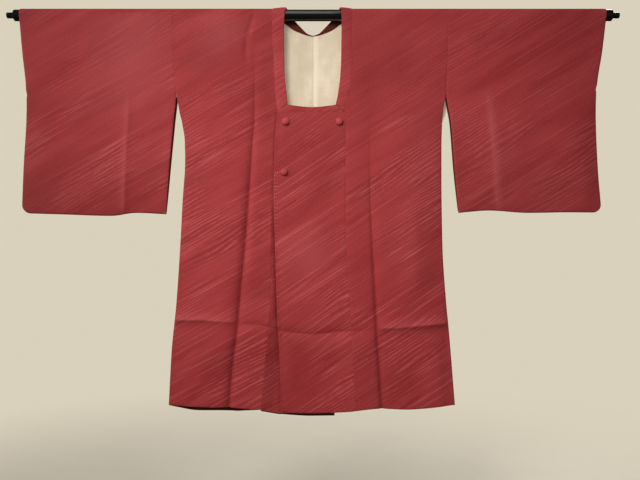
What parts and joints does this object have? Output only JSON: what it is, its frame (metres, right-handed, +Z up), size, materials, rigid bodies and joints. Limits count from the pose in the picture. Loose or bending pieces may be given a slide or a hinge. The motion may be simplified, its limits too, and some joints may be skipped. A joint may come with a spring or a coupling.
{
  "type": "michiyuki coat on a rod",
  "caption": "East Asian over-kimono coat with a square neck, lapped fronts and wide sleeves, hung flat over a plain round rod.",
  "frame": {"origin": "the rod's centre, above the middle of the neck, where the rod is held", "axes": "+X to the wearer's left along the rod, +Z up, and the front of the coat faces -Y"},
  "size_m": [1.364, 0.0438, 0.9035],
  "materials": {
    "cloth": "matt crimson silk with fine slanted stripes",
    "lining": "cream silk, soft sheen",
    "rod": "gloss black"
  },
  "bodies": {
    "root": {"body_right": "cloth", "body_left": "cloth", "sleeve_right": "cloth", "sleeve_left": "cloth", "okumi_right": "cloth", "okumi_left": "cloth", "collar_band": "cloth", "collar_front_right": "cloth", "collar_front_left": "cloth", "lining_right": "lining", "lining_left": "lining", "button_top_right": "cloth", "button_top_left": "cloth", "button_waist": "cloth", "rod": "rod"}
  },
  "joints": []
}
